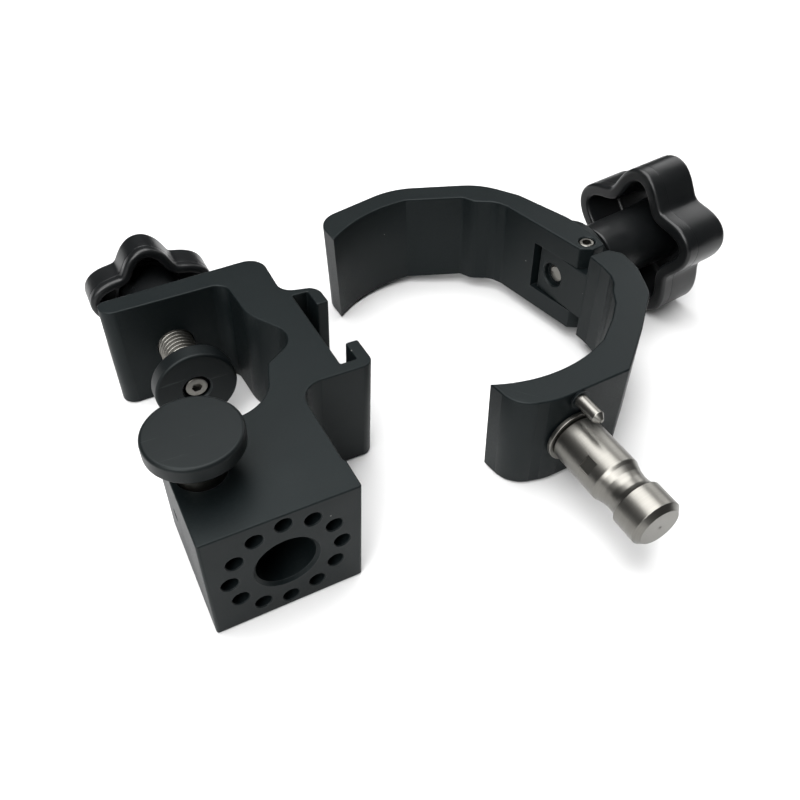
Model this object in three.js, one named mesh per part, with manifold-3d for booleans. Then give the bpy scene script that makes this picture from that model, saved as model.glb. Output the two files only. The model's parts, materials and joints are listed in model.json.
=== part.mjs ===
// Two-part pole clamp set, lying on a table as it is unpacked.
// The clamp half grips a pole with a screw and pad, and has a socket block.
// The claw half closes two jaws round a tube, and has a spigot for that socket.
// Millimetres, +Z up. The origin is at the bottom centre of the bounding box.

import * as THREE from 'three';
import { mergeVertices } from 'three/addons/utils/BufferGeometryUtils.js';
import Module from 'manifold-3d';

const wasm = await Module();
wasm.setup();

// ---------- driving dimensions ----------

const GAP = 0.3; // free space between neighbouring pieces

// socket and spigot, shared by the two halves
const SPIGOT_R = 8;
const SPIGOT_LENGTH = 35;
const SOCKET_R = SPIGOT_R + 0.25;
const INDEX_CIRCLE_R = 15.2;
const INDEX_COUNT = 12;
const INDEX_HOLE_R = 2.3;
const INDEX_PIN_R = 2;
const INDEX_HOLE_DEPTH = 12;
const NECK_Y = 21.5; // from the spigot's shoulder to the middle of its neck

// clamp half: one extruded body, its outline in X and Y
const BODY_H = 38;
const BLOCK_W = 42;
const AXIS_X = BLOCK_W / 2;
const AXIS_Z = BODY_H / 2;
const SADDLE_R = 14;
const SADDLE_Y = 50.3;
const HORN_Y = 42.27; // end of the low horn beside the saddle
const ARM_INNER_Y = 95.6;
const ARM_OUTER_Y = 104.6;

// clamp half: screw, pad and knob
const SCREW_X = 19.7; // the screw stands a little off the socket's axis
const SCREW_R = 6;
const PAD_R = 13;
const PAD_FRONT_Y = 72.6;
const PAD_T = 6;
const CLAMP_HUB_END_Y = 108;
const CLAMP_KNOB_Y = 121.5;

// clamp half: release button
const PLUNGER_X = 8;
const PLUNGER_Y = 22;
const PLUNGER_R = 6;
const PLUNGER_BASE_Z = 14.5;
const PLUNGER_GROOVE = [23.2, 32.2];
const BUTTON_R = 12.5;
const BUTTON_BASE_Z = 47.6;
const BUTTON_T = 4.8;
const PLUG_T = 4.2;
const STOP_PIN_Y = PLUNGER_Y + 6.7;
const STOP_PIN_Z = 17;
const STOP_PIN_END = 11.5;

// claw half, in its own frame: Z = 0 at mid height, the spigot along -Y at X = 0
const CLAW_H = 36;
const EAR_Z = 9.9; // inner faces of the swing jaw's two ears
const TAIL_Z = EAR_Z - GAP;
const HINGE = [47.4, 62.7];
const HINGE_R = 2.6;
const FACE_Y = 4.2; // front face that the spigot stands on
const BOLT_R = 3;
const BOLT_HEAD_R = 5;
const BOLT_SEAT_Y = 8.2;
const SWING_BORE = { x: 0, y: 71, r: 48.2 };
const FIXED_BORE = { x: 0, y: 60.4, r: 46.2 };

// claw half: tension screw axis, from its tip outwards
const TENSION_TIP = [43, 71.6];
const TENSION_ANGLE = THREE.MathUtils.degToRad(5);
const TENSION_R = 3.6;
const EAR_FACE_S = 8.7; // distance along the screw to the ears' outer faces
const SEAT_R = 16.5;
const DOME_S = 3.6; // centre of the seat's dome, level with the hinge
const DOME_R = 12;
const CUP_R = 9;
const CUP_BACK_S = 17;
const TENSION_KNOB_S = 37;

// knobs: five lobes
const CLAMP_KNOB = { lobe: 21.7, root: 16.75, t: 13.5, hub: 10.5, phase: 18 };
const TENSION_KNOB = { lobe: 29.4, root: 22.2, t: 20.5, hub: 12, phase: 164.7 };
const LOBES = 5;
const KNOB_WALL = 4;
const KNOB_WEB = 4.5;

// where the claw half lies beside the clamp half
const CLAW_X = 114.5;
const CLAW_Y = 0.7;

// ---------- materials ----------

const material = (color, roughness, metalness) =>
  new THREE.MeshStandardMaterial({ color, roughness, metalness });
const anodised = () => material(0x2b2f30, 0.5, 0.6);
const plastic = () => material(0x151617, 0.35, 0.0);
const stainless = () => material(0xb9b7b0, 0.28, 1.0);
const springSteel = () => material(0x8d8f91, 0.4, 1.0);

// ---------- solids ----------

// A closed solid for joins and cuts, from a geometry whose vertices are shared.
function toSolid(geometry) {
  let bare = geometry;
  if (geometry.attributes.normal) {
    bare = geometry.index ? geometry.toNonIndexed() : geometry.clone();
    bare.deleteAttribute('normal');
    bare.deleteAttribute('uv');
    bare = mergeVertices(bare, 1e-4);
  }
  const numProp = 3;
  const vertProperties = new Float32Array(bare.attributes.position.array);
  const triVerts = new Uint32Array(bare.index.array);
  return new wasm.Manifold(new wasm.Mesh({ numProp, vertProperties, triVerts }));
}

function toGeometry(body) {
  const { vertProperties, triVerts } = body.getMesh();
  const geometry = new THREE.BufferGeometry();
  geometry.setAttribute('position', new THREE.BufferAttribute(vertProperties, 3));
  geometry.setIndex(new THREE.BufferAttribute(triVerts, 1));
  return geometry;
}

function join(first, ...others) {
  return toGeometry(others.reduce((sum, other) => sum.add(toSolid(other)), toSolid(first)));
}

function cut(first, ...others) {
  return toGeometry(others.reduce((rest, other) => rest.subtract(toSolid(other)), toSolid(first)));
}

function named(name, geometry, finish) {
  if (!geometry.attributes.normal) geometry.computeVertexNormals();
  const mesh = new THREE.Mesh(geometry, finish);
  mesh.name = name;
  return mesh;
}

// An upright prism over an outline of [x, y] points.
function prism(points, low, high) {
  const shape = new THREE.Shape(points.map(([x, y]) => new THREE.Vector2(x, y)));
  const geometry = new THREE.ExtrudeGeometry(shape, { depth: high - low, bevelEnabled: false });
  return geometry.translate(0, 0, low);
}

// A box from its low and high corners.
function block(low, high) {
  const size = high.map((v, k) => v - low[k]);
  const middle = high.map((v, k) => (v + low[k]) / 2);
  return new THREE.BoxGeometry(...size).translate(...middle);
}

// A solid turned about +Y, from [radius, y] points that start and end on the axis.
function turned(profile, segments = 32) {
  const points = profile.map(([r, y]) => new THREE.Vector2(r, y));
  return new THREE.LatheGeometry(points, segments);
}

// A plain round bar along +Y, +X or +Z between two stations.
function bar(radius, from, to, segments = 32) {
  return turned([[0, from], [radius, from], [radius, to], [0, to]], segments);
}

const alongX = (body) => body.rotateZ(-Math.PI / 2);
const alongZ = (body) => body.rotateX(Math.PI / 2);
const at = (body, x, y, z) => body.translate(x, y, z);

// A round rod along +Y with chamfered ends.
function screwRod(radius, from, to, chamfer) {
  const ends = [[0, from], [radius - chamfer, from], [radius, from + chamfer]];
  return turned([...ends, [radius, to - chamfer], [radius - chamfer, to], [0, to]]);
}

// A hexagonal socket cutter along +Y.
function hexSocket(acrossFlats, from, to) {
  return bar(acrossFlats / Math.sqrt(3), from, to, 6);
}

// A closed outline from [x, y, fillet radius] corners.
function rounded(corners, step = 0.3) {
  const outline = [];
  corners.forEach(([x, y, radius = 0], i) => {
    const corner = new THREE.Vector2(x, y);
    const before = corners[(i + corners.length - 1) % corners.length];
    const after = corners[(i + 1) % corners.length];
    const back = new THREE.Vector2(before[0], before[1]).sub(corner).normalize();
    const ahead = new THREE.Vector2(after[0], after[1]).sub(corner).normalize();
    if (radius === 0) {
      outline.push([x, y]);
      return;
    }
    const half = Math.acos(THREE.MathUtils.clamp(back.dot(ahead), -1, 1)) / 2;
    const centre = corner.clone().add(
      back.clone().add(ahead).normalize().multiplyScalar(radius / Math.sin(half)));
    const start = corner.clone().addScaledVector(back, radius / Math.tan(half)).sub(centre);
    const end = corner.clone().addScaledVector(ahead, radius / Math.tan(half)).sub(centre);
    const sweep = Math.atan2(start.cross(end), start.dot(end));
    const fine = Math.min(step, Math.sqrt(0.4 / radius));
    const count = Math.max(2, Math.ceil(Math.abs(sweep) / fine));
    for (let k = 0; k <= count; k += 1) {
      const p = start.clone().rotateAround(new THREE.Vector2(), (sweep * k) / count).add(centre);
      outline.push([p.x, p.y]);
    }
  });
  return outline;
}

// Points on a circle between two angles in degrees.
function arc({ x, y, r }, from, to, count) {
  return Array.from({ length: count + 1 }, (_, k) => {
    const angle = THREE.MathUtils.degToRad(from + ((to - from) * k) / count);
    return [x + r * Math.cos(angle), y + r * Math.sin(angle)];
  });
}

// ---------- star knob, its axis along +Y and its open side facing -Y ----------

function starOutline(lobe, root, inset, count) {
  const mean = (lobe + root) / 2;
  const swing = (lobe - root) / 2;
  return Array.from({ length: count }, (_, k) => {
    const angle = (2 * Math.PI * k) / count;
    const r = mean - inset + (swing + inset * 0.12) * Math.cos(LOBES * angle);
    return new THREE.Vector2(r * Math.cos(angle), r * Math.sin(angle));
  });
}

function starKnob({ lobe, root, t, hub, phase }, openY, hubEndY, bore) {
  const bevel = 2.2;
  const rim = 1.2;
  const outer = new THREE.ExtrudeGeometry(new THREE.Shape(starOutline(lobe, root, bevel, 60)), {
    depth: t - 2 * rim,
    bevelThickness: rim,
    bevelSize: bevel,
    bevelSegments: 3,
  });
  const hollow = new THREE.ExtrudeGeometry(
    new THREE.Shape(starOutline(lobe, root, KNOB_WALL + 0.6, 60)),
    { depth: t - KNOB_WEB + 4, bevelEnabled: false },
  );
  const shell = cut(outer.translate(0, 0, rim), hollow.translate(0, 0, -4));
  shell.rotateZ(-THREE.MathUtils.degToRad(phase)).rotateX(-Math.PI / 2);
  const webY = openY + t - KNOB_WEB;
  const sleeve = bar(hub, hubEndY, webY + 1, 40);
  return cut(join(at(shell, 0, openY, 0), sleeve), bar(bore, hubEndY - 1, webY + 1, 32));
}

// ---------- clamp half ----------

function clampBodyOutline() {
  const saddle = arc({ x: AXIS_X + 0.5, y: SADDLE_Y, r: SADDLE_R }, 215, 347, 16);
  const before = [[0, 0, 0.8], [BLOCK_W, 0, 0.8], [BLOCK_W, 9.4], [BLOCK_W - 0.7, 10.1]];
  const lowerHook = [[41.3, 40.1, 7.2], [65.5, 40.1, 3.6], [65.5, 52.2], [61.4, 52.2], [61.4, 44.2]];
  const upperHook = [[56.2, 44.2], [56.2, 81.1], [61.4, 81.1], [61.4, 73.4], [65.5, 73.4]];
  const shoulder = [[65.5, 82.5, 4.6], [53.9, 85, 5], [54.6, 107, 6]];
  const arm = [[-0.8, 102.9, 2.6], [-0.8, ARM_INNER_Y, 4.4], [38.7, 97, 4.6]];
  const notch = [[39.7, 78, 16], [49.9, 61.7, 8], [37.4, 53.2, 1.2]];
  const horn = [[0, HORN_Y, 2]];
  const outside = [...before, ...lowerHook, ...upperHook, ...shoulder, ...arm];
  return rounded([...outside, ...notch, ...saddle.reverse(), ...horn]);
}

function clampBody() {
  const mouth = [[0, -1], [SOCKET_R + 1.6, -1], [SOCKET_R, 0.8], [SOCKET_R, 50], [0, 50]];
  const indexHoles = Array.from({ length: INDEX_COUNT }, (_, k) => {
    const angle = (2 * Math.PI * k) / INDEX_COUNT;
    const x = AXIS_X + INDEX_CIRCLE_R * Math.cos(angle);
    const z = AXIS_Z + INDEX_CIRCLE_R * Math.sin(angle);
    return at(bar(INDEX_HOLE_R, -1, INDEX_HOLE_DEPTH, 16), x, 0, z);
  });
  return cut(
    prism(clampBodyOutline(), 0, BODY_H),
    at(turned(mouth, 48), AXIS_X, 0, AXIS_Z),
    ...indexHoles,
    at(alongZ(bar(PLUNGER_R + GAP, -1, BODY_H + 1, 32)), PLUNGER_X, PLUNGER_Y, 0),
    at(alongX(bar(1.8, -1, STOP_PIN_END + 0.4, 16)), 0, STOP_PIN_Y, STOP_PIN_Z),
    at(bar(SCREW_R + GAP, 90, 110), SCREW_X, 0, AXIS_Z),
  );
}

function releaseButton() {
  const low = BUTTON_BASE_Z;
  const high = BUTTON_BASE_Z + BUTTON_T;
  const disc = turned([
    [0, low], [BUTTON_R - 0.5, low], [BUTTON_R, low + 0.5], [BUTTON_R, high - 1.1],
    [BUTTON_R - 0.9, high], [0, high],
  ], 48);
  return at(alongZ(cut(disc, bar(2.6, low - 1, low + 3, 24))), PLUNGER_X, PLUNGER_Y, 0);
}

function plunger() {
  const [grooveLow, grooveHigh] = PLUNGER_GROOVE;
  const waist = 4.8;
  const top = BUTTON_BASE_Z - GAP;
  const rod = turned([
    [0, PLUNGER_BASE_Z], [PLUNGER_R, PLUNGER_BASE_Z], [PLUNGER_R, grooveLow],
    [waist, grooveLow + 0.6], [waist, grooveHigh - 0.6], [PLUNGER_R, grooveHigh],
    [PLUNGER_R, top], [2.3, top], [2.3, top + 2.5], [0, top + 2.5],
  ]);
  const springWell = bar(4, PLUNGER_BASE_Z - 1, PLUNGER_BASE_Z + 6, 24);
  const stopFlat = block([-7, 4.8, PLUNGER_BASE_Z + 0.6], [7, 9, grooveLow + 1]);
  return at(cut(alongZ(cut(rod, springWell)), stopFlat), PLUNGER_X, PLUNGER_Y, 0);
}

// A compression spring drawn as a closed sleeve, open along its bore.
function springSleeve(outer, inner, from, to) {
  return cut(bar(outer, from, to, 24), bar(inner, from - 1, to + 1, 24));
}

function clampHalf() {
  const half = new THREE.Group();
  const piece = (name, body, finish) => half.add(named(name, body, finish));
  const axial = (body) => at(body, SCREW_X, 0, AXIS_Z);
  const upright = (body) => at(alongZ(body), PLUNGER_X, PLUNGER_Y, 0);
  piece('clamp_body', clampBody(), anodised());

  const padBack = PAD_FRONT_Y + PAD_T;
  const headSeat = PAD_FRONT_Y + 3.6;
  const pad = turned([
    [0, PAD_FRONT_Y], [PAD_R - 0.6, PAD_FRONT_Y], [PAD_R, PAD_FRONT_Y + 0.6],
    [PAD_R, padBack - 0.6], [PAD_R - 0.6, padBack], [0, padBack],
  ], 48);
  const padBores = [
    bar(4.4, PAD_FRONT_Y - 1, headSeat), bar(2.4, headSeat - 1, padBack + 1),
    bar(SCREW_R + GAP, padBack - 1.2, padBack + 1),
  ];
  piece('clamp_pad', axial(cut(pad, ...padBores)), anodised());

  const noseY = padBack - 0.9;
  const headBack = headSeat - GAP;
  const head = join(bar(3.6, headBack - 3, headBack, 28), bar(2, headBack - 0.5, noseY + 7, 20));
  const padScrew = cut(head, hexSocket(3, headBack - 4, headBack - 1.2));
  piece('pad_screw', axial(padScrew), stainless());

  const rodEnd = CLAMP_KNOB_Y + CLAMP_KNOB.t - KNOB_WEB;
  const rod = screwRod(SCREW_R, noseY, rodEnd, 0.8);
  piece('clamp_screw', axial(cut(rod, bar(2.3, noseY - 1, noseY + 8, 20))), stainless());
  const knob = starKnob(CLAMP_KNOB, CLAMP_KNOB_Y, CLAMP_HUB_END_Y, SCREW_R + GAP);
  piece('clamp_knob', axial(knob), plastic());

  piece('release_button', releaseButton(), anodised());
  piece('lock_plunger', plunger(), stainless());
  const spring = springSleeve(3.5, 2.5, PLUG_T + GAP, PLUNGER_BASE_Z + 5.7);
  piece('plunger_spring', upright(spring), springSteel());
  const plug = cut(screwRod(PLUNGER_R, 0.4, PLUG_T, 0.4), hexSocket(5, 0, 2.6));
  piece('spring_plug', upright(plug), anodised());
  const stopPin = alongX(screwRod(1.5, 0.4, STOP_PIN_END, 0.2));
  piece('plunger_stop_pin', at(stopPin, 0, STOP_PIN_Y, STOP_PIN_Z), stainless());
  return half;
}

// ---------- claw half ----------

// The two jaws share a bore: an arc near each tip, then flats round the corner.
function swingJawOutline() {
  const tipOuter = [[-30.3, 123.6, 9], [3.9, 129.4, 28], [35.6, 114.8, 24], [44.4, 100.6, 12]];
  const earFace = [[...tensionPoint(EAR_FACE_S, 6), 12], [...tensionPoint(EAR_FACE_S, -7.5), 4]];
  const earOuter = [...earFace, [51.7, 58, 1.2], [46.5, 57.6, 0.8]];
  const inner = [[42.5, 60.2, 0.8], [35.9, 96, 5], [33.8, 100.8, 6], [27.1, 105.2, 6], [24.8, 109.8]];
  const bore = arc(SWING_BORE, 84, 128.5, 9);
  return rounded([...tipOuter, ...earOuter, ...inner, ...bore]);
}

function fixedJawOutline() {
  const bore = arc(FIXED_BORE, 243.5, 287, 9);
  const inner = [[19.7, 18.6], [28.3, 25], [34.3, 30.8], [37.3, 35.8], [40.4, 39.4], [42.2, 43]];
  const shoulder = [[43, 49], [42.9, 55.3, 0.6], [50.6, 55.1, 2], [53.9, 51, 3]];
  const outer = [[52.9, 42, 10], [47.6, 29.6, 14], [33.5, 16.8, 8], [18.2, FACE_Y, 2]];
  const tip = [[-7, FACE_Y, 20], [-19, 7.6, 10]];
  return rounded([...bore, ...inner, ...shoulder, ...outer, ...tip]);
}

// Distances along and across the tension screw, turned into the claw's X and Y.
function tensionPoint(s, across) {
  const [x, y] = TENSION_TIP;
  const c = Math.cos(TENSION_ANGLE);
  const n = Math.sin(TENSION_ANGLE);
  return [x + s * c - across * n, y + s * n + across * c];
}

// A body made along +Y, laid along the tension screw's axis from its tip.
function onTensionAxis(body) {
  return at(body.rotateZ(TENSION_ANGLE - Math.PI / 2), ...TENSION_TIP, 0);
}

// The tail fills the space between the swing jaw's ears and holds the screw's thread.
function tailOutline() {
  return rounded([
    tensionPoint(-1.7, 7), tensionPoint(-1.7, -17), [46, 50], [50.5, 54],
    tensionPoint(7.6, -8), tensionPoint(6.8, 0), [...tensionPoint(6, 6.6), 1],
  ]);
}

function hingeBore() {
  return at(alongZ(bar(HINGE_R + GAP, -CLAW_H, CLAW_H, 28)), ...HINGE, 0);
}

function fixedJaw() {
  const knuckle = arc({ x: HINGE[0], y: HINGE[1], r: 4.6 }, 0, 345, 23);
  const jaw = join(
    prism(fixedJawOutline(), -CLAW_H / 2, CLAW_H / 2),
    prism(tailOutline(), -TAIL_Z, TAIL_Z),
    prism(knuckle, -TAIL_Z, TAIL_Z),
  );
  return cut(
    jaw,
    hingeBore(),
    onTensionAxis(bar(TENSION_R + GAP, -5, 12, 28)),
    onTensionAxis(bar(4.6, -5, 0.6, 28)),
    bar(BOLT_R + GAP, 0, 20, 28),
    bar(BOLT_HEAD_R + 0.6, BOLT_SEAT_Y, 22, 28),
    at(bar(INDEX_PIN_R + GAP, 0, 12.3, 28), 0, 0, INDEX_CIRCLE_R),
  );
}

function swingJaw() {
  const window = block([30, 50, -EAR_Z], [60, 80.6, EAR_Z]);
  return cut(prism(swingJawOutline(), -CLAW_H / 2, CLAW_H / 2), window, hingeBore());
}

// Points of a circle about the dome's centre, from one radius off the screw axis to another.
function domeArc(radius, from, to, count = 6) {
  return Array.from({ length: count + 1 }, (_, k) => {
    const off = from + ((to - from) * k) / count;
    return [off, DOME_S + Math.sqrt(radius * radius - off * off)];
  });
}

// The domed seat lies on both ears, and the cup washer under the knob rocks on its dome.
function domeSeat() {
  const low = EAR_FACE_S + GAP;
  const rim = low + 3.8;
  const floor = low + 1;
  const disc = turned([
    [0, low], [SEAT_R - 0.4, low], [SEAT_R, low + 0.4], [SEAT_R, rim - 0.9], [SEAT_R - 0.9, rim],
    [11.3, rim], [11.1, floor], [9.6, floor], ...domeArc(DOME_R, 9.4, 5), [0, 14],
  ], 48);
  return cut(disc, bar(5.9, low - 1, low + 8, 32));
}

function cupWasher() {
  const inner = TENSION_R + GAP;
  const cup = domeArc(DOME_R + GAP, inner, CUP_R);
  const profile = [...cup, [CUP_R, CUP_BACK_S], [inner, CUP_BACK_S], cup[0]];
  return turned(profile, 40);
}

function spigot() {
  const tip = -SPIGOT_LENGTH;
  const neck = -NECK_Y;
  const rod = turned([
    [0, tip], [SPIGOT_R - 1, tip], [SPIGOT_R, tip + 1], [SPIGOT_R, neck - 3.8],
    [SPIGOT_R - 0.5, neck - 3.7], [SPIGOT_R - 1.2, neck - 2.2], [SPIGOT_R - 1.4, neck],
    [SPIGOT_R - 1.1, neck + 2.2], [SPIGOT_R - 0.4, neck + 4.2], [SPIGOT_R, neck + 5.2],
    [SPIGOT_R, 2.1], [0, 2.1],
  ], 48);
  return cut(rod, bar(BOLT_R + GAP, -11, 3, 24));
}

function clawHalf() {
  const half = new THREE.Group();
  const piece = (name, body, finish) => half.add(named(name, body, finish));
  piece('fixed_jaw', fixedJaw(), anodised());
  piece('swing_jaw', swingJaw(), anodised());
  const hingePin = cut(screwRod(HINGE_R, -17.7, 17.7, 0.4), hexSocket(3, 13.5, 19));
  piece('hinge_pin', at(alongZ(hingePin), ...HINGE, 0), stainless());

  piece('dome_seat', onTensionAxis(domeSeat()), anodised());
  piece('cup_washer', onTensionAxis(cupWasher()), anodised());
  const rodEnd = TENSION_KNOB_S + TENSION_KNOB.t - KNOB_WEB;
  piece('tension_screw', onTensionAxis(screwRod(TENSION_R, 0, rodEnd, 0.5)), stainless());
  const knob = starKnob(TENSION_KNOB, TENSION_KNOB_S, CUP_BACK_S + GAP, TENSION_R + GAP);
  piece('tension_knob', onTensionAxis(knob), plastic());

  piece('spigot', spigot(), stainless());
  const collar = screwRod(SPIGOT_R + 1.2, 2.4, FACE_Y - GAP, 0.3);
  piece('spigot_collar', cut(collar, bar(BOLT_R + GAP, 0, 6)), stainless());
  const bolt = join(bar(BOLT_HEAD_R, BOLT_SEAT_Y + GAP, 13.8), bar(BOLT_R, -9, BOLT_SEAT_Y + 1));
  piece('spigot_bolt', cut(bolt, hexSocket(5, 11, 15)), stainless());
  const pinTip = [[0, -6.4], [0.9, -6.3], [1.6, -5.6], [INDEX_PIN_R, -4.6]];
  const indexPin = turned([...pinTip, [INDEX_PIN_R, 12], [0, 12]], 28);
  piece('index_pin', at(indexPin, 0, 0, INDEX_CIRCLE_R), stainless());
  return half;
}

// The vertex of a piece that lies lowest when `up` is the upward direction.
function lowest(mesh, up) {
  const positions = mesh.geometry.attributes.position;
  const found = new THREE.Vector3();
  const point = new THREE.Vector3();
  let least = Infinity;
  for (let i = 0; i < positions.count; i += 1) {
    const height = point.fromBufferAttribute(positions, i).dot(up);
    if (height < least) {
      least = height;
      found.copy(point);
    }
  }
  return found;
}

// The claw half rests on the low edges of its two tips and on its knob.
function settle(half) {
  const feet = ['swing_jaw', 'fixed_jaw', 'tension_knob'].map((name) => half.getObjectByName(name));
  const up = new THREE.Vector3(0, 0, 1);
  for (let pass = 0; pass < 8; pass += 1) {
    const [a, b, c] = feet.map((mesh) => lowest(mesh, up));
    up.copy(b.sub(a).cross(c.sub(a)).normalize());
    if (up.z < 0) up.negate();
  }
  half.quaternion.setFromUnitVectors(up, new THREE.Vector3(0, 0, 1));
  half.position.set(CLAW_X, CLAW_Y, -lowest(feet[2], up).dot(up));
}

// ---------- the set, centred on its bounding box and standing on Z = 0 ----------

const clamp_set = new THREE.Group();
const claw = clawHalf();
settle(claw);
clamp_set.add(clampHalf(), claw);
clamp_set.updateMatrixWorld(true);
const bounds = new THREE.Box3().setFromObject(clamp_set, true);
const middle = bounds.getCenter(new THREE.Vector3());
clamp_set.position.set(-middle.x, -middle.y, -bounds.min.z);
clamp_set.updateMatrixWorld(true);

export default clamp_set;
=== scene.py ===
"""Looks of the pipe clamp set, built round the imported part.

The object's lengths are in mm, in the frame of its clamp half or its claw half.
The floor, the lights and the room are in metres.
"""

import json
import math

import bmesh
import bpy
from mathutils import Matrix, Vector


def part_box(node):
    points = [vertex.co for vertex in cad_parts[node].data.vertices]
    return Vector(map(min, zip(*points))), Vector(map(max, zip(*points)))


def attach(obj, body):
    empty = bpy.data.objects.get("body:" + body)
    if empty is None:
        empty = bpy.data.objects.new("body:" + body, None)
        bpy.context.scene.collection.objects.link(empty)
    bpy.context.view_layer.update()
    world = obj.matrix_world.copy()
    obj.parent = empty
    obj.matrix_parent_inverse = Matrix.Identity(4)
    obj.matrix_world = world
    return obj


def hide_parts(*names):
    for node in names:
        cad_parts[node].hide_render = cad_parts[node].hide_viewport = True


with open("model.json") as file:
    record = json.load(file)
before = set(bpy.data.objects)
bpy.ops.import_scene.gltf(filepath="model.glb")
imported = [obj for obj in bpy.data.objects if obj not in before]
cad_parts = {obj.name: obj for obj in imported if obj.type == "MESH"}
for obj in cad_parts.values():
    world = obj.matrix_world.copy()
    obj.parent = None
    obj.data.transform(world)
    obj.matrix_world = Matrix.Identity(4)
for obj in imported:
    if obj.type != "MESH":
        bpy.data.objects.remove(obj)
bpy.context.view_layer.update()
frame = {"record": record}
MM = 0.001
BROAD = 1e-4  # milled faces larger than this, in square metres, are shaded flat

# ---------- driving dimensions ----------

# clamp half: the socket block's corner is the origin, the socket opens towards -Y
HEIGHT = 38
AXIS_Z = HEIGHT / 2
SOCKET_X = 21
SOCKET_R = 8.25
INDEX_CIRCLE_R = 15.2
INDEX_COUNT = 12
ARM_OVERHANG = 0.8
ARM_INNER_Y = 95.6
SCREW_X = 19.7
SCREW_R = 6
PAD_R = 13
PAD_FRONT_Y = 72.6
PAD_BACK_Y = 78.6
BUTTON_AT = (8, 22)
BUTTON_R = 12.5
PLUNGER_R = 6
CROSS_PIN_AT = (0, 28.7, 17)

# claw half: Z = 0 at mid height, the spigot along -Y
SPAN = 18
EAR_Z = 9.9
TAIL_Z = 9.6
FACE_Y = 4.2
HINGE = (47.4, 62.7)
HINGE_R = 2.6
TENSION_TIP = (43, 71.6)
TENSION_ANGLE = math.radians(5)
TENSION_R = 3.6
SPIGOT_R = 8
BOLT_R = 3
GAP = 0.3

# the dome's centre along the tension screw, its radius, and the cup's radius over it
DOME_S = 3.6
DOME_R = 12
CUP_DOME_R = 12.3

CLAMP_KNOB = dict(
    lobe=21.7, root=16.75, thick=13.5, hub=10.5, phase=18, face=121.5, hub_end=108,
    bore=SCREW_R + GAP, wall=3.4,
)
TENSION_KNOB = dict(
    lobe=29.4, root=22.2, thick=20.5, hub=12, phase=164.7, face=37, hub_end=17.3,
    bore=TENSION_R + GAP, wall=5,
)

# ---------- frames of the two halves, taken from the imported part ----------

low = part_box("clamp_body")[0]
CLAMP = Matrix.Translation(low + Vector((ARM_OVERHANG, 0, 0)) * MM)

joints = {j["name"]: j for j in frame["record"]["behaviour"]["joints"]}
claw_z = Vector(joints["swing_jaw_hinge"]["axis"]).normalized()
outward = -Vector(joints["tension_spin"]["axis"]).normalized()
sideways = claw_z.cross(outward)
claw_x = outward * math.cos(TENSION_ANGLE) - sideways * math.sin(TENSION_ANGLE)
claw_y = outward * math.sin(TENSION_ANGLE) + sideways * math.cos(TENSION_ANGLE)
hinge_at = Vector(joints["swing_jaw_hinge"]["pos_m"])
claw_at = hinge_at - (claw_x * HINGE[0] + claw_y * HINGE[1]) * MM
CLAW = Matrix.Translation(claw_at) @ Matrix((claw_x, claw_y, claw_z)).transposed().to_4x4()

TURN_X = Matrix.Rotation(-math.pi / 2, 4, "Z")  # +Y to +X
TURN_Z = Matrix.Rotation(math.pi / 2, 4, "X")  # +Y to +Z
CLAMP_AXIS = CLAMP @ Matrix.Translation(Vector((SCREW_X, 0, AXIS_Z)) * MM)
BUTTON_AXIS = CLAMP @ Matrix.Translation(Vector((*BUTTON_AT, 0)) * MM) @ TURN_Z
HINGE_AXIS = CLAW @ Matrix.Translation(Vector((*HINGE, 0)) * MM) @ TURN_Z
TENSION_AXIS = (
    CLAW
    @ Matrix.Translation(Vector((*TENSION_TIP, 0)) * MM)
    @ Matrix.Rotation(TENSION_ANGLE - math.pi / 2, 4, "Z")
)
INDEX_AXIS = CLAW @ Matrix.Translation(Vector((0, 0, INDEX_CIRCLE_R)) * MM)
SAME = Matrix.Identity(4)


# ---------- outlines ----------


def rounded(corners, closed=True, step=0.06):
    """Points along a run of (x, y) or (x, y, fillet radius) corners."""
    count = len(corners)
    out = []
    for i, corner in enumerate(corners):
        at = Vector(corner[:2])
        radius = corner[2] if len(corner) > 2 else 0
        if radius == 0 or (not closed and i in (0, count - 1)):
            out.append(at)
            continue
        back = (Vector(corners[i - 1][:2]) - at).normalized()
        ahead = (Vector(corners[(i + 1) % count][:2]) - at).normalized()
        half = math.acos(max(-1, min(1, back.dot(ahead)))) / 2
        centre = at + (back + ahead).normalized() * (radius / math.sin(half))
        start = at + back * (radius / math.tan(half)) - centre
        end = at + ahead * (radius / math.tan(half)) - centre
        sweep = math.atan2(start.cross(end), start.dot(end))
        steps = max(2, math.ceil(abs(sweep) / step))
        for k in range(steps + 1):
            out.append(centre + Matrix.Rotation(sweep * k / steps, 2) @ start)
    return out


def arc(x, y, radius, start, end, count):
    """Points on a circle between two angles in degrees."""
    angles = [math.radians(start + (end - start) * k / count) for k in range(count + 1)]
    return [(x + radius * math.cos(a), y + radius * math.sin(a)) for a in angles]


def area(points):
    return sum(p.cross(q) for p, q in zip(points, points[1:] + points[:1])) / 2


def inset(points, distance):
    """A counter-clockwise outline moved inwards."""
    out = []
    for i, p in enumerate(points):
        a = (p - points[i - 1]).normalized()
        b = (points[(i + 1) % len(points)] - p).normalized()
        normal = Vector((-a.y - b.y, a.x + b.x)).normalized()
        spread = max(0.5, normal.dot(Vector((-a.y, a.x))))
        out.append(p + normal * distance / spread)
    return out


def tension_point(s, across):
    """A place along and across the tension screw, as X and Y of the claw."""
    c, n = math.cos(TENSION_ANGLE), math.sin(TENSION_ANGLE)
    return (TENSION_TIP[0] + s * c - across * n, TENSION_TIP[1] + s * n + across * c)


# ---------- meshes ----------


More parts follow.
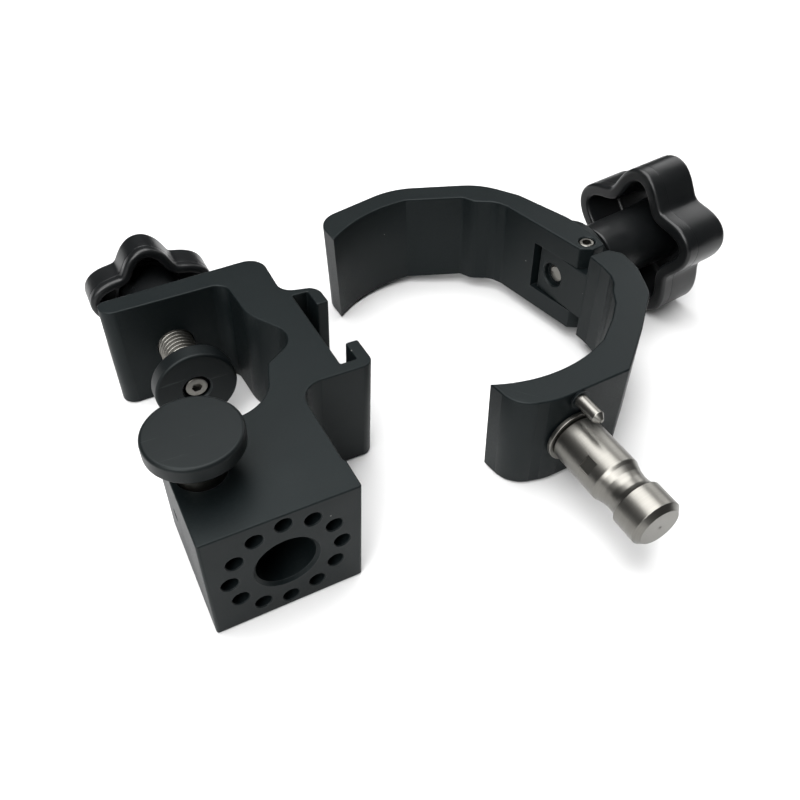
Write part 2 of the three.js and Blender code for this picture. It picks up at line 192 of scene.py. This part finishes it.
def skin(rings, loop=False):
    """A closed mesh from rings of [x, y, z], in mm. A ring of one point closes an end."""
    bm = bmesh.new()
    made = [[bm.verts.new(Vector(p) * MM) for p in ring] for ring in rings]
    pairs = list(zip(made, made[1:])) + ([(made[-1], made[0])] if loop else [])
    for a, b in pairs:
        for k in range(max(len(a), len(b))):
            face = [a[k % len(a)], a[(k + 1) % len(a)], b[(k + 1) % len(b)], b[k % len(b)]]
            face = [v for i, v in enumerate(face) if v is not face[i - 1]]
            bm.faces.new(face)
    if not loop:
        for end in (made[0], made[-1]):
            if len(end) > 2:
                bm.faces.new(end)
    bmesh.ops.recalc_face_normals(bm, faces=bm.faces)
    mesh = bpy.data.meshes.new("skin")
    bm.to_mesh(mesh)
    bm.free()
    return mesh


def extruded(outline, bottom, top, edge=0.5, steps=3):
    """A prism over an outline, its two rims rounded."""
    if area(outline) < 0:
        outline = outline[::-1]
    turns = [math.pi / 2 * k / steps for k in range(steps + 1)]
    rims = [(edge * (1 - math.sin(t)), bottom + edge * (1 - math.cos(t))) for t in turns]
    rims += [(d, bottom + top - z) for d, z in reversed(rims)]
    return skin([[(p.x, p.y, z) for p in inset(outline, d)] for d, z in rims])


def lathe(profile, segments=96, phase=0.0):
    """A body turned about +Y from (radius, y) or (radius, y, fillet radius) corners."""
    closed = profile[0][0] > 0 or profile[-1][0] > 0
    points = rounded(profile, closed, 0.3)
    rings = []
    for r, y in points:
        if r < 1e-6:
            rings.append([(0, y, 0)])
            continue
        turns = [2 * math.pi * k / segments + phase for k in range(segments)]
        rings.append([(r * math.cos(t), y, r * math.sin(t)) for t in turns])
    return skin(rings, closed)


def rod(radius, start, end, edge=0.4, segments=96):
    return lathe([(0, start), (radius, start, edge), (radius, end, edge), (0, end)], segments)


def hexagon(across, start, end):
    return lathe([(0, start), (across / 3**0.5, start), (across / 3**0.5, end), (0, end)], 6)


def hole(radius, mouth, floor, flare=0.35):
    """A round cutter whose mouth is flared, to leave a small chamfer."""
    out = math.copysign(1, mouth - floor)
    return lathe(
        [
            (0, mouth + out), (radius + flare + 0.6, mouth + out),
            (radius + flare, mouth + out * 0.002), (radius, mouth - out * flare),
            (radius, floor), (0, floor),
        ]
    )


def threaded(radius, start, end, pitch, depth=0.72, segments=96, rows=14):
    """A screw thread with flat crests and rounded roots, run out at both ends."""
    count = round((end - start) / pitch * rows)
    rings = [[(0, start, 0)]]
    for i in range(count + 1):
        y = start + (end - start) * i / count
        fade = min(1, (y - start) / (1.1 * pitch), (end - y) / (1.1 * pitch))
        ring = []
        for k in range(segments):
            turn = 2 * math.pi * k / segments
            phase = (y / pitch + k / segments) % 1
            tooth = min(1, max(0, (abs(phase - 0.5) * 2 - 0.12) / 0.7))
            cut = depth * pitch * 0.85 * (1 - tooth)
            r = radius - cut - (1 - fade) * depth * pitch * 0.45
            ring.append((r * math.cos(turn), y, r * math.sin(turn)))
        rings.append(ring)
    rings.append([(0, end, 0)])
    return skin(rings)


def coil(radius, wire, start, end, turns, count=48, sides=14):
    """A compression spring with closed ends, about +Y."""
    total = round(turns * count)
    rings = []
    for i in range(total + 1):
        t = i / total
        ease = min(1, max(0, (t * turns - 0.9) / (turns - 1.8)))
        y = start + wire + (end - start - 2 * wire) * ease
        angle = 2 * math.pi * turns * t
        c, s = math.cos(angle), math.sin(angle)
        sweep = [2 * math.pi * k / sides for k in range(sides)]
        rings.append(
            [
                ((radius + wire * math.cos(a)) * c, y + wire * math.sin(a),
                 (radius + wire * math.cos(a)) * s)
                for a in sweep
            ]
        )
    return skin(rings)


def star(lobe, root, grow, count=240):
    """The outline of a five-lobed knob, grown or shrunk along its normals."""
    mean, swing = (lobe + root) / 2, (lobe - root) / 2
    bevel = 2.2
    points = []
    for k in range(count):
        t = 2 * math.pi * k / count
        r = mean - bevel + (swing + bevel * 0.12) * math.cos(5 * t)
        points.append(Vector((r * math.cos(t), r * math.sin(t))))
    return inset(points, -(bevel + grow))


def star_knob(lobe, root, thick, hub, phase, face, hub_end, bore, wall):
    """A hollow star knob about +Y, its open side at y = face and its hub reaching hub_end."""
    back = face + thick
    floor = back - 4.2
    fillet = 2.0 if root - wall - hub > 4.5 else 1.0
    flare = min(2.2, root - wall - hub - fillet - 0.45)
    rim, crown = 1.5, 2.6
    path = []  # (growth of the star, y)
    path += [(-15, back + 0.15), (-11, back + 0.12), (-7, back + 0.05), (-crown - 1.4, back)]
    for k in range(7):
        t = math.pi / 2 * k / 6
        path.append((-crown * (1 - math.sin(t)), back - crown * (1 - math.cos(t))))
    seam = face + thick * 0.25
    path += [(0.0, seam + 0.28), (-0.13, seam + 0.1), (-0.13, seam - 0.1), (0.0, seam - 0.28)]
    for k in range(7):
        t = math.pi / 2 * k / 6
        path.append((-rim * (1 - math.cos(t)), face + rim * (1 - math.sin(t))))
    for k in range(1, 7):
        t = math.pi / 2 * k / 6
        path.append((-wall + rim * (1 - math.sin(t)), face + rim * (1 - math.cos(t))))
    path += [(-wall - 0.25, floor - fillet)]
    for k in range(1, 6):
        t = math.pi / 2 * k / 5
        path.append((-wall - 0.25 - fillet * (1 - math.cos(t)), floor - fillet * (1 - math.sin(t))))
    rings = []
    for grow, y in path:
        rings.append([(p.x, y, p.y) for p in star(lobe, root, grow)])
    rings.insert(0, [(0, back + 0.15, 0)])
    count = len(rings[-1])
    turns = [2 * math.pi * k / count for k in range(count)]
    reach = abs(hub_end - floor)
    sleeve = [(hub + flare, floor), (hub + flare, floor - 0.5), (hub + 0.4 * flare, floor - 0.7)]
    sleeve += [(hub + 0.12, floor - 1.6), (hub, floor - reach * 0.6), (hub, hub_end + 1.1)]
    sleeve += [(hub - 0.3, hub_end + 0.35), (hub - 1.0, hub_end), (bore + 0.6, hub_end)]
    sleeve += [(bore, hub_end + 0.5), (bore, floor + 0.6)]
    for r, y in sleeve:
        rings.append([(r * math.cos(t), y, r * math.sin(t)) for t in turns])
    rings.append([(0, floor + 0.6, 0)])
    mesh = skin(rings)
    mesh.transform(Matrix.Rotation(math.radians(phase), 4, "Y").inverted())
    return mesh


def place(mesh, name, matrix):
    obj = bpy.data.objects.new(name, mesh)
    bpy.context.scene.collection.objects.link(obj)
    obj.matrix_world = matrix
    bpy.context.view_layer.update()
    return obj


def carve(obj, cutters, operation="DIFFERENCE"):
    """Cuts a list of (mesh, matrix relative to obj) out of obj, or joins them to it."""
    for mesh, matrix in cutters:
        tool = place(mesh, "cutter", obj.matrix_world @ matrix)
        mod = obj.modifiers.new("carve", "BOOLEAN")
        mod.operation, mod.solver, mod.object = operation, "EXACT", tool
        bpy.context.view_layer.update()
        graph = bpy.context.evaluated_depsgraph_get()
        carved = bpy.data.meshes.new_from_object(obj.evaluated_get(graph))
        obj.modifiers.clear()
        obj.data = carved
        bpy.data.objects.remove(tool)
    return obj


def shift(x, y, z, turn=None):
    return Matrix.Translation(Vector((x, y, z)) * MM) @ (turn or Matrix.Identity(4))


def finish(obj, material, body, node, sharp=38):
    """Shades, paints and hangs a piece on its body in place of its CAD node."""
    obj.data.materials.clear()
    obj.data.materials.append(material)
    obj.data.polygons.foreach_set("material_index", [0] * len(obj.data.polygons))
    obj.data.shade_smooth()
    obj.data.set_sharp_from_angle(angle=math.radians(sharp))
    if material == BODY:
        for face in obj.data.polygons:
            broad = face.area > BROAD or abs(face.normal.z) > 0.9999
            face.use_smooth = not broad
    else:
        weighted = obj.modifiers.new("weighted", "WEIGHTED_NORMAL")
        weighted.keep_sharp = True
    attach(obj, body)
    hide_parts(node)
    return obj


# ---------- materials ----------


class Nodes:
    """A short way to build a node material."""

    def __init__(self, name, **inputs):
        self.material = bpy.data.materials.new(name)
        self.material.use_nodes = True
        self.tree = self.material.node_tree
        self.shader = self.tree.nodes["Principled BSDF"]
        for key, value in inputs.items():
            self.shader.inputs[key.replace("_", " ")].default_value = value
        self.place = self.add("ShaderNodeTexCoord").outputs["Object"]

    def add(self, kind, links=(), **settings):
        node = self.tree.nodes.new(kind)
        for key, value in settings.items():
            setattr(node, key, value)
        for socket, source in dict(links).items():
            if hasattr(source, "is_output"):
                self.tree.links.new(source, node.inputs[socket])
            else:
                node.inputs[socket].default_value = source
        return node

    def noise(self, scale, detail=3.0, roughness=0.5, place=None):
        links = {"Vector": place or self.place, "Scale": scale}
        links.update({"Detail": detail, "Roughness": roughness})
        return self.add("ShaderNodeTexNoise", links).outputs["Fac"]

    def ramp(self, source, low, high, to_low=0.0, to_high=1.0):
        links = {"Value": source, "From Min": low, "From Max": high}
        links.update({"To Min": to_low, "To Max": to_high})
        return self.add("ShaderNodeMapRange", links).outputs["Result"]

    def mix(self, fac, a, b):
        node = self.add("ShaderNodeMix", {0: fac}, data_type="RGBA")
        for socket, value in ((6, a), (7, b)):
            if hasattr(value, "is_output"):
                self.tree.links.new(value, node.inputs[socket])
            else:
                node.inputs[socket].default_value = (*value, 1)
        return node.outputs[2]

    def math(self, operation, a, b):
        return self.add("ShaderNodeMath", {0: a, 1: b}, operation=operation).outputs[0]

    def stretch(self, x, y, z):
        links = {"Vector": self.place, "Scale": (x, y, z)}
        return self.add("ShaderNodeMapping", links).outputs["Vector"]

    def edges(self, radius_mm=0.35):
        """Where the surface turns within a short distance: the edges that get painted paler, partly
        as edge wear and partly as a painted highlight.
        """
        soft = self.add("ShaderNodeBevel", {"Radius": radius_mm * MM}, samples=4).outputs["Normal"]
        plain = self.add("ShaderNodeNewGeometry").outputs["Normal"]
        links = {0: soft, 1: plain}
        same = self.add("ShaderNodeVectorMath", links, operation="DOT_PRODUCT").outputs["Value"]
        return self.ramp(same, 0.99, 0.8)

    def set(self, name, source):
        self.tree.links.new(source, self.shader.inputs[name])

    def bump(self, height, strength, distance_mm):
        links = {"Height": height, "Strength": strength, "Distance": distance_mm * MM}
        self.set("Normal", self.add("ShaderNodeBump", links).outputs["Normal"])


def anodised(name="anodised", tint=(0.0022, 0.0038, 0.0043)):
    """Bead-blasted black anodising: fine grain, even sheen, pale edges from wear and a painted edge
    highlight, a few dust specks.
    """
    n = Nodes(name, Metallic=0.0, Specular_IOR_Level=0.17, Specular_Tint=(0.92, 1, 1, 1))
    cloud = n.noise(22, 4, 0.55)
    grain = n.noise(1500, 2, 0.6)
    dark = tuple(c * 0.9 for c in tint)
    pale = tuple(c * 1.12 for c in tint)
    colour = n.mix(n.ramp(cloud, 0.3, 0.7), dark, pale)
    colour = n.mix(n.math("MULTIPLY", n.ramp(grain, 0.45, 0.8), 0.3), colour, (0.011, 0.014, 0.015))
    # Edges painted pale: partly edge wear, partly a painted highlight along the rounded edges.
    wear_and_painted_highlight = n.math("MULTIPLY", n.edges(), n.ramp(n.noise(160, 3), 0.35, 0.7, 0.2, 0.6))
    colour = n.mix(wear_and_painted_highlight, colour, (0.085, 0.09, 0.09))
    cells = n.add("ShaderNodeTexVoronoi", {"Vector": n.place, "Scale": 210.0})
    dot = n.ramp(cells.outputs["Distance"], 0.03, 0.055, 1.0, 0.0)
    chosen = n.add("ShaderNodeSeparateColor", {"Color": cells.outputs["Color"]}).outputs["Red"]
    speck = n.math("MULTIPLY", dot, n.math("GREATER_THAN", chosen, 0.93))
    colour = n.mix(n.math("MULTIPLY", speck, 0.4), colour, (0.4, 0.4, 0.38))
    n.set("Base Color", colour)
    rough = n.ramp(n.noise(70, 4), 0.3, 0.7, 0.44, 0.5)
    n.set("Roughness", n.math("ADD", rough, n.ramp(grain, 0.3, 0.7, -0.04, 0.05)))
    n.bump(grain, 0.3, 0.02)
    return n.material


def turned_anodised():
    """The same finish over fine turning rings, for round parts turned about their own Y."""
    n = Nodes("anodised_turned", Metallic=0.0, Specular_IOR_Level=0.17, Specular_Tint=(0.92, 1, 1, 1))
    cloud = n.noise(45, 3)
    colour = n.mix(n.ramp(cloud, 0.3, 0.7), (0.0030, 0.0040, 0.0044), (0.0045, 0.0058, 0.0062))
    # Edges painted pale: partly edge wear, partly a painted highlight along the rounded edges.
    wear_and_painted_highlight = n.math("MULTIPLY", n.edges(), n.ramp(n.noise(200, 3), 0.35, 0.7, 0.1, 0.5))
    colour = n.mix(wear_and_painted_highlight, colour, (0.09, 0.1, 0.1))
    scratch = n.ramp(n.noise(1, 4, 0.6, n.stretch(60, 60, 900)), 0.66, 0.72)
    colour = n.mix(n.math("MULTIPLY", scratch, 0.2), colour, (0.07, 0.08, 0.08))
    n.set("Base Color", colour)
    n.set("Roughness", n.ramp(n.noise(90, 4), 0.3, 0.7, 0.4, 0.48))
    rings = n.noise(1, 2, 0.5, n.stretch(30, 4200, 30))
    n.bump(n.math("ADD", rings, n.noise(1500, 2)), 0.25, 0.015)
    return n.material


def moulded():
    """Black moulded plastic: soft sheen, faint flow, fine spark-eroded grain."""
    n = Nodes("moulded_plastic", Specular_IOR_Level=0.32)
    flow = n.noise(55, 5, 0.6)
    colour = n.mix(n.ramp(flow, 0.3, 0.7), (0.0035, 0.004, 0.0044), (0.006, 0.0066, 0.007))
    # Edges painted a little paler: partly edge wear, partly a painted highlight along the rounded
    # edges.
    wear_and_painted_highlight = n.math("MULTIPLY", n.edges(), 0.2)
    colour = n.mix(wear_and_painted_highlight, colour, (0.04, 0.042, 0.044))
    n.set("Base Color", colour)
    n.set("Roughness", n.ramp(n.noise(120, 4), 0.3, 0.7, 0.27, 0.38))
    n.bump(n.math("ADD", n.noise(1100, 2), n.noise(240, 2)), 0.14, 0.04)
    return n.material


def stainless(name="stainless", rings=5200, along=0.0):
    """Turned stainless: fine rings about the part's Y, lengthwise polish and a warm tint."""
    n = Nodes(name, Metallic=1.0)
    fine = n.noise(1, 3, 0.6, n.stretch(20, rings, 20))
    cloud = n.noise(60, 3)
    colour = n.mix(n.ramp(cloud, 0.3, 0.7), (0.165, 0.16, 0.146), (0.21, 0.205, 0.188))
    streak = n.ramp(fine, 0.35, 0.65, 0.0, 0.35)
    colour = n.mix(streak, colour, (0.12, 0.116, 0.108))
    n.set("Base Color", colour)
    rough = n.ramp(fine, 0.3, 0.7, 0.3 + along, 0.4 + along)
    n.set("Roughness", rough)
    n.bump(fine, 0.25, 0.015)
    return n.material


def spring_wire():
    n = Nodes("spring_wire", Metallic=1.0)
    colour = n.mix(n.noise(300, 3), (0.26, 0.27, 0.28), (0.4, 0.4, 0.41))
    n.set("Base Color", colour)
    n.set("Roughness", n.ramp(n.noise(500, 3), 0.3, 0.7, 0.3, 0.5))
    n.bump(n.noise(900, 2), 0.2, 0.02)
    return n.material


BODY = anodised()
ROUND = turned_anodised()
PLASTIC = moulded()
STEEL = stainless()
THREAD = stainless("thread_steel", 900, 0.04)
WIRE = spring_wire()

# ---------- clamp half ----------


def clamp_outline():
    saddle = arc(21.5, 50.3, 14, 215, 347, 72)
    return rounded(
        [
            (0, 0, 0.8), (42, 0, 0.8), (42, 9.4, 0.9), (41.3, 10.1, 0.8),
            (41.3, 40.1, 7.2), (65.5, 40.1, 3.6), (65.5, 52.2, 0.7), (61.4, 52.2, 0.7),
            (61.4, 44.2, 0.5), (56.2, 44.2, 0.5), (56.2, 81.1, 0.5), (61.4, 81.1, 0.5),
            (61.4, 73.4, 0.7), (65.5, 73.4, 0.7), (65.5, 82.5, 4.6), (53.9, 85, 5),
            (54.6, 107, 6), (-0.8, 102.9, 2.6), (-0.8, ARM_INNER_Y, 4.4), (38.7, 97, 4.6),
            (39.7, 78, 16), (49.9, 61.7, 8), (37.4, 53.2, 1.2),
            *saddle[::-1], (0, 42.27, 2),
        ]
    )


def clamp_body():
    obj = place(extruded(clamp_outline(), 0, HEIGHT, 0.4), "pole_clamp_body", CLAMP)
    cutters = [(hole(SOCKET_R, 0, 50, 0.9), shift(SOCKET_X, 0, AXIS_Z))]
    for k in range(INDEX_COUNT):
        t = 2 * math.pi * k / INDEX_COUNT
        across = SOCKET_X + INDEX_CIRCLE_R * math.cos(t)
        at = shift(across, 0, AXIS_Z + INDEX_CIRCLE_R * math.sin(t))
        cutters.append((hole(2.3, 0, 12, 0.25), at))
    well = lathe(
        [
            (0, -1), (6.9, -1), (6.85, 0), (6.3, 0.5), (6.3, HEIGHT - 0.5),
            (6.85, HEIGHT), (6.9, HEIGHT + 1), (0, HEIGHT + 1),
        ]
    )
    cutters.append((well, shift(*BUTTON_AT, 0, TURN_Z)))
    cutters.append((hole(1.8, 0, 11.9, 0.2), shift(*CROSS_PIN_AT, TURN_X)))
    arm_bore = rod(SCREW_R + GAP, 88, 112, 0)
    cutters.append((arm_bore, shift(SCREW_X, 0, AXIS_Z)))
    carve(obj, cutters)
    return finish(obj, BODY, "clamp", "clamp_body")


clamp_body()

pad = place(
    lathe(
        [
            (0, 76.2), (4.4, 76.2), (4.4, 73.1), (4.9, PAD_FRONT_Y), (PAD_R, PAD_FRONT_Y, 0.9),
            (PAD_R, PAD_BACK_Y, 0.9), (6.9, PAD_BACK_Y), (6.3, 78.0), (6.3, 77.4), (2.4, 77.4),
            (2.4, 76.4), (0, 76.4),
        ]
    ),
    "swivel_pad",
    CLAMP_AXIS,
)
finish(pad, ROUND, "pad", "clamp_pad")

head = place(rod(3.6, 73.2, 75.9, 0.5), "pad_retaining_screw", CLAMP_AXIS)
carve(head, [(hexagon(3, 71, 74.8), SAME)])
finish(head, STEEL, "pad_drive", "pad_screw")

screw = place(threaded(SCREW_R, 77.7, 130.3, 1.75), "clamp_screw_thread", CLAMP_AXIS)
finish(screw, THREAD, "pad_drive", "clamp_screw", 60)

knob = place(star_knob(**CLAMP_KNOB), "clamp_star_knob", CLAMP_AXIS)
finish(knob, PLASTIC, "pad_drive", "clamp_knob")

button = place(
    lathe([(0, 47.6), (BUTTON_R, 47.6, 0.5), (BUTTON_R, 52.4, 1.0), (0, 52.4)], 160),
    "quick_release_button",
    BUTTON_AXIS,
)
finish(button, ROUND, "release", "release_button")

plunger = place(
    lathe(
        [
            (0, 14.5), (3.9, 14.5), (PLUNGER_R, 14.5, 0.4), (PLUNGER_R, 23.2, 0.3),
            (4.8, 23.8, 0.5), (4.8, 31.6, 0.5), (PLUNGER_R, 32.2, 0.3), (PLUNGER_R, 47.3, 0.4),
            (0, 47.3),
        ]
    ),
    "waisted_lock_plunger",
    BUTTON_AXIS,
)
finish(plunger, STEEL, "release", "lock_plunger")

plug = place(rod(PLUNGER_R, 0.4, 4.2, 0.4), "spring_well_plug", BUTTON_AXIS)
carve(plug, [(hexagon(5, -1, 2.6), SAME)])
finish(plug, ROUND, "clamp", "spring_plug")

pin = place(rod(1.5, 0.4, 11.5, 0.3, 48), "plunger_cross_pin", CLAMP @ shift(*CROSS_PIN_AT, TURN_X))
finish(pin, STEEL, "clamp", "plunger_stop_pin")

spring = place(coil(3.0, 0.45, 4.5, 14.2, 6.5), "plunger_coil_spring", BUTTON_AXIS)
finish(spring, WIRE, "clamp", "plunger_spring")

# ---------- claw half ----------


def swing_outline():
    bore = arc(0, 71, 48.2, 84, 128.5, 60)
    return rounded(
        [
            (-30.3, 123.6, 9), (3.9, 129.4, 28), (35.6, 114.8, 24), (44.4, 100.6, 12),
            (*tension_point(8.7, 6), 12), (*tension_point(8.7, -7.5), 4),
            (51.7, 58, 1.2), (46.5, 57.6, 0.8), (42.5, 60.2, 0.8), (35.9, 96, 5),
            (33.8, 100.8, 6), (27.1, 105.2, 6), (24.8, 109.8, 2), *bore,
        ]
    )


def fixed_outline():
    bore = arc(0, 60.4, 46.2, 243.5, 287, 60)
    return rounded(
        [
            *bore, (19.7, 18.6, 2), (28.3, 25, 3), (34.3, 30.8, 3), (37.3, 35.8, 2),
            (40.4, 39.4, 2), (42.2, 43, 2), (43, 49, 2), (42.9, 55.3, 0.6),
            (50.6, 55.1, 2), (53.9, 51, 3), (52.9, 42, 10), (47.6, 29.6, 14),
            (33.5, 16.8, 8), (18.2, FACE_Y, 2), (-7, FACE_Y, 20), (-19, 7.6, 10),
        ]
    )


def box(low, high):
    (a, b, c), (d, e, f) = low, high
    outline = [Vector((a, b)), Vector((d, b)), Vector((d, e)), Vector((a, e))]
    return extruded(outline, c, f, 0.3, 2)


def swing_jaw():
    obj = place(extruded(swing_outline(), -SPAN, SPAN, 0.5), "hinged_jaw", CLAW)
    pin_hole = lathe(
        [(0, -30), (3.7, -30), (3.25, -SPAN), (2.9, -SPAN + 0.35), (2.9, SPAN - 0.35),
         (3.25, SPAN), (3.7, 30), (0, 30)]
    )
    window = box((30, 50, -EAR_Z), (60, 80.6, EAR_Z))
    carve(obj, [(window, SAME), (pin_hole, shift(*HINGE, 0, TURN_Z))])
    return finish(obj, BODY, "jaw", "swing_jaw")


def fixed_jaw():
    obj = place(extruded(fixed_outline(), -SPAN, SPAN, 0.5), "spigot_jaw", CLAW)
    tail = rounded(
        [
            tension_point(-1.7, 7), tension_point(-1.7, -17), (46, 50), (50.5, 54),
            tension_point(7.6, -8), tension_point(6.8, 0), (*tension_point(6, 6.6), 1),
        ]
    )
    knuckle = [Vector(p) for p in arc(*HINGE, 4.6, 0, 357, 119)]
    carve(
        obj,
        [(extruded(tail, -TAIL_Z, TAIL_Z, 0.3), SAME),
         (extruded(knuckle, -TAIL_Z, TAIL_Z, 0.3), SAME)],
        "UNION",
    )
    along = CLAW.inverted() @ TENSION_AXIS
    carve(
        obj,
        [
            (rod(HINGE_R + GAP, -30, 30, 0), shift(*HINGE, 0, TURN_Z)),
            (rod(TENSION_R + GAP, -5, 14, 0), along),
            (hole(4.6, -1.7, 0.6, 0.4), along),
            (rod(BOLT_R + GAP, 0, 20, 0), SAME),
            (rod(5.6, 8.2, 24, 0), SAME),
            (hole(2.3, FACE_Y, 12.3, 0.2), shift(0, 0, INDEX_CIRCLE_R)),
        ],
    )
    return finish(obj, BODY, "claw", "fixed_jaw")


swing_jaw()
fixed_jaw()

hinge_pin = place(rod(HINGE_R, -17.7, 17.7, 0.45), "jaw_hinge_pin", HINGE_AXIS)
carve(hinge_pin, [(hexagon(3, 13.5, 20), SAME)])
finish(hinge_pin, STEEL, "claw", "hinge_pin")


def dome_arc(radius, start, end, count=12):
    """Points on a circle about the dome's centre, from one distance off the screw to another."""
    offsets = [start + (end - start) * k / count for k in range(count + 1)]
    return [(off, DOME_S + math.sqrt(radius * radius - off * off)) for off in offsets]


seat = place(
    lathe(
        [
            (5.9, 9.0), (16.5, 9.0, 0.4), (16.5, 12.8, 0.9), (11.3, 12.8, 0.3),
            (11.1, 10.0, 0.4), (9.6, 10.0), *dome_arc(DOME_R, 9.4, 5.9),
        ],
        128,
    ),
    "domed_seat",
    TENSION_AXIS,
)
finish(seat, ROUND, "jaw", "dome_seat")

cup_arc = dome_arc(CUP_DOME_R, TENSION_R + GAP, 9)
cup = place(
    lathe([*cup_arc, (9, 17, 0.6), (TENSION_R + GAP, 17, 0.4)], 128),
    "cup_washer_ring",
    TENSION_AXIS,
)
finish(cup, ROUND, "cup", "cup_washer")

tension = place(threaded(TENSION_R, 0, 52.5, 1.25), "tension_screw_thread", TENSION_AXIS)
finish(tension, THREAD, "tension_drive", "tension_screw", 60)

tension_knob = place(star_knob(**TENSION_KNOB), "tension_star_knob", TENSION_AXIS)
finish(tension_knob, PLASTIC, "tension_drive", "tension_knob")

spigot = place(
    lathe(
        [
            (0, -34.5), (0.7, -35), (6.4, -35, 0.15), (SPIGOT_R, -33.4, 0.2),
            (SPIGOT_R, -25.3, 0.5), (7.3, -25.0, 0.6), (6.8, -23.6, 1.5), (6.6, -21.5, 4),
            (6.9, -19.4, 2), (7.5, -17.4, 1.5), (SPIGOT_R, -16.3, 1.0), (SPIGOT_R, 2.1, 0.4),
            (0, 2.1),
        ],
        160,
    ),
    "stainless_spigot",
    CLAW,
)
FLAT_TURN = math.radians(-145)
flat = box((SPIGOT_R - 0.55, -13, -2.3), (SPIGOT_R + 2, -9, 2.3))
carve(spigot, [(flat, Matrix.Rotation(FLAT_TURN, 4, "Y"))])
finish(spigot, STEEL, "claw", "spigot")

collar = place(
    lathe([(3.3, 2.4), (9.2, 2.4, 0.3), (9.2, 3.9, 0.3), (3.3, 3.9)], 128),
    "spigot_root_collar",
    CLAW,
)
finish(collar, STEEL, "claw", "spigot_collar")

bolt = place(
    lathe([(0, -9), (3, -9, 0.4), (3, 8.5), (5, 8.5, 0.3), (5, 13.8, 0.5), (0, 13.8)]),
    "spigot_socket_bolt",
    CLAW,
)
carve(bolt, [(hexagon(5, 11, 15), SAME)])
finish(bolt, STEEL, "claw", "spigot_bolt")

index = place(
    lathe([(0, -6.4), (0.7, -6.4, 0.3), (2, -4.6, 0.5), (2, 12, 0.3), (0, 12)], 64),
    "index_stud",
    INDEX_AXIS,
)
finish(index, STEEL, "claw", "index_pin")

# ---------- floor, light and camera ----------


def paper():
    n = Nodes("studio_paper", Roughness=0.9)
    colour = n.mix(n.noise(4, 3), (0.66, 0.66, 0.66), (0.7, 0.7, 0.7))
    n.set("Base Color", colour)
    return n.material


bpy.ops.mesh.primitive_plane_add(size=8, location=(0, 0, -0.0003))
floor = bpy.context.object
floor.name = "studio_floor"
floor.data.materials.append(paper())

# The room is bright above and dims towards the horizon.
HORIZON_LIGHT = 0.12
ZENITH_LIGHT = 1.4
world = bpy.data.worlds.new("studio")
world.use_nodes = True
tree = world.node_tree
sky = tree.nodes.new("ShaderNodeTexCoord")
height = tree.nodes.new("ShaderNodeSeparateXYZ")
level = tree.nodes.new("ShaderNodeMapRange")
level.inputs["From Min"].default_value = -0.05
level.inputs["From Max"].default_value = 0.75
level.inputs["To Min"].default_value = HORIZON_LIGHT
level.inputs["To Max"].default_value = ZENITH_LIGHT
tree.links.new(sky.outputs["Generated"], height.inputs[0])
tree.links.new(height.outputs["Z"], level.inputs["Value"])
tree.links.new(level.outputs["Result"], tree.nodes["Background"].inputs["Strength"])
bpy.context.scene.world = world


def softbox(name, at, size, watts, tint=(1, 1, 1)):
    data = bpy.data.lights.new(name, "AREA")
    data.shape, data.size, data.size_y = "RECTANGLE", size[0], size[1]
    data.energy, data.color = watts, tint
    light = bpy.data.objects.new(name, data)
    light.location = at
    aim = Vector((0, 0, 0.02)) - Vector(at)
    light.rotation_mode = "QUATERNION"
    light.rotation_quaternion = aim.to_track_quat("-Z", "Y")
    bpy.context.scene.collection.objects.link(light)


softbox("overhead", (-0.1, 0.2, 1.1), (1.2, 1.0), 25)
softbox("left_fill", (-0.75, -0.45, 0.8), (0.6, 0.8), 14)
softbox("right_rim", (0.8, 0.4, 0.5), (0.5, 0.6), 2.6)

camera = bpy.data.objects.new("camera", bpy.data.cameras.new("camera"))
bpy.context.scene.collection.objects.link(camera)
camera.data.sensor_width = 36
camera.data.lens = 33.89
right = Vector((0.8836, -0.4668, 0.0363))
up = Vector((0.2988, 0.6217, 0.7240))
back = -Vector((0.3605, 0.6288, -0.6889))
turn = Matrix((right, up, back)).transposed()
camera.rotation_mode = "QUATERNION"
camera.rotation_quaternion = turn.to_quaternion()
camera.location = CLAMP.translation + Vector((-10.5, -108.0, 181.6)) * MM
camera.data.clip_start, camera.data.clip_end = 0.01, 20
bpy.context.scene.camera = camera

view_settings = bpy.context.scene.view_settings
view_settings.view_transform = "Standard"
